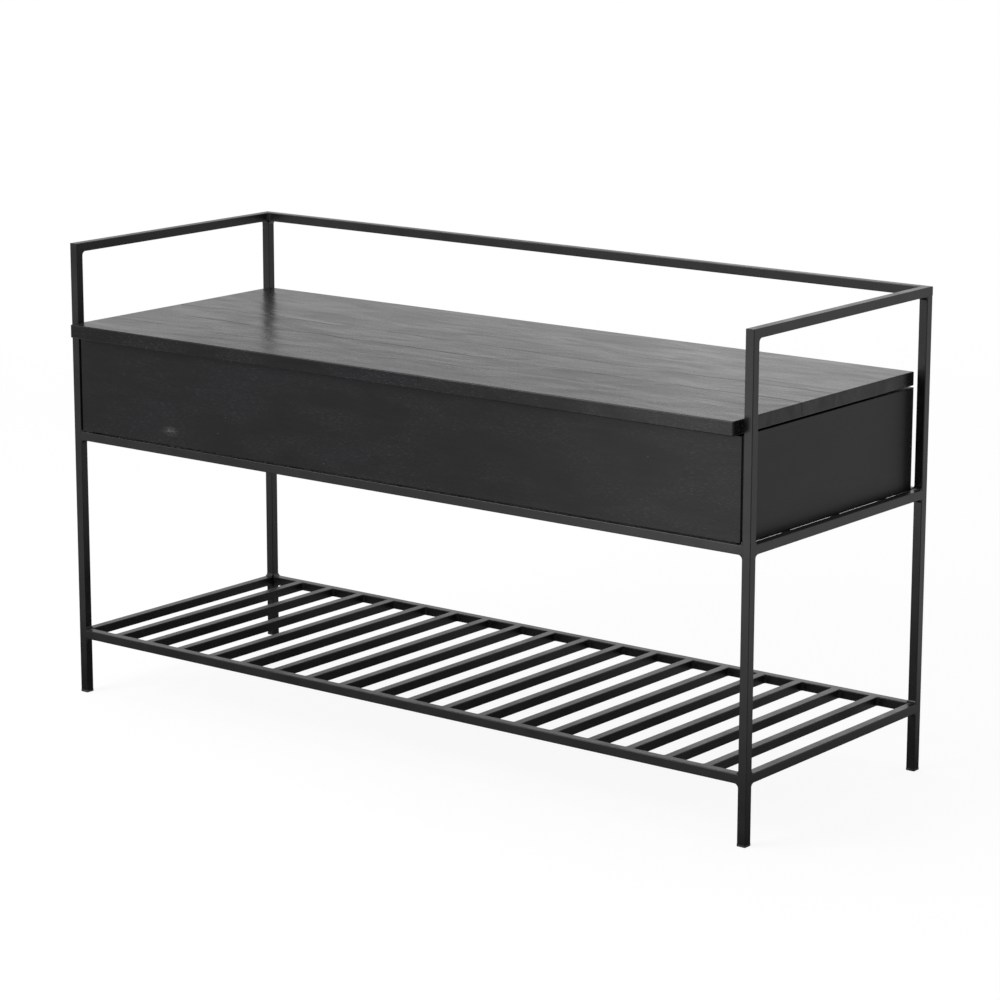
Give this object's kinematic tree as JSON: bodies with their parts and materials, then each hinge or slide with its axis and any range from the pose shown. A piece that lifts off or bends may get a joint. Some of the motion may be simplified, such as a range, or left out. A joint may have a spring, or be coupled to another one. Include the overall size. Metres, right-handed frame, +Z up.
{
  "type": "entryway bench",
  "caption": "Entryway bench: square-tube steel frame with a hinged wooden storage box as its seat and a slatted shoe shelf.",
  "frame": {"origin": "on the floor, under the middle of the bench's overall box", "axes": "+X along the bench, to the right when it is seen from the front; +Y from the front to the back; +Z up"},
  "size_m": [1.1006, 0.4184, 0.625],
  "materials": {
    "frame_steel": "satin black powder coat",
    "stained_wood": "black stain under satin lacquer",
    "floor_board": "black-stained plywood",
    "dowel_wood": "plain beech",
    "foot_plastic": "moulded, fine texture",
    "bumper_rubber": "matte",
    "hinge_steel": "black-passivated, fine brushed"
  },
  "bodies": {
    "frame": {"box_back_panel": "stained_wood", "box_corner_dowels": "dowel_wood", "box_floor_panel": "floor_board", "box_front_panel": "stained_wood", "box_left_panel": "stained_wood", "box_right_panel": "stained_wood", "foot_cap_back_left": "foot_plastic", "foot_cap_back_right": "foot_plastic", "foot_cap_front_left": "foot_plastic", "foot_cap_front_right": "foot_plastic", "hinge_box_leaf_screws": "hinge_steel", "hinge_left_box_leaf": "hinge_steel", "hinge_left_pin": "hinge_steel", "hinge_right_box_leaf": "hinge_steel", "hinge_right_pin": "hinge_steel", "lid_bumpers": "bumper_rubber", "mounting_tab_screws": "hinge_steel", "mounting_tabs": "frame_steel", "post_back_left": "frame_steel", "post_back_right": "frame_steel", "post_front_left": "frame_steel", "post_front_right": "frame_steel", "seat_rail_back": "frame_steel", "seat_rail_front": "frame_steel", "seat_rail_left": "frame_steel", "seat_rail_right": "frame_steel", "seat_rail_welds": "frame_steel", "shelf_rail_back": "frame_steel", "shelf_rail_front": "frame_steel", "shelf_rail_left": "frame_steel", "shelf_rail_right": "frame_steel", "shelf_rail_welds": "frame_steel", "shelf_slat_01": "frame_steel", "shelf_slat_02": "frame_steel", "shelf_slat_03": "frame_steel", "shelf_slat_04": "frame_steel", "shelf_slat_05": "frame_steel", "shelf_slat_06": "frame_steel", "shelf_slat_07": "frame_steel", "shelf_slat_08": "frame_steel", "shelf_slat_09": "frame_steel", "shelf_slat_10": "frame_steel", "shelf_slat_11": "frame_steel", "shelf_slat_12": "frame_steel", "shelf_slat_13": "frame_steel", "shelf_slat_14": "frame_steel", "shelf_slat_15": "frame_steel", "shelf_slat_16": "frame_steel", "shelf_slat_17": "frame_steel", "shelf_slat_18": "frame_steel", "shelf_slat_welds": "frame_steel", "top_corner_welds": "frame_steel", "top_rail_back": "frame_steel", "top_rail_left": "frame_steel", "top_rail_right": "frame_steel"},
    "lid": {"seat_lid": "stained_wood", "hinge_left_lid_leaf": "hinge_steel", "hinge_right_lid_leaf": "hinge_steel", "hinge_lid_leaf_screws": "hinge_steel"}
  },
  "joints": [
    {"name": "lid_hinge", "type": "hinge", "parent": "frame", "child": "lid", "pos_m": [0, 0.19865, 0.4989], "axis": [-1, 0, 0], "range_deg": [0, 78]}
  ]
}
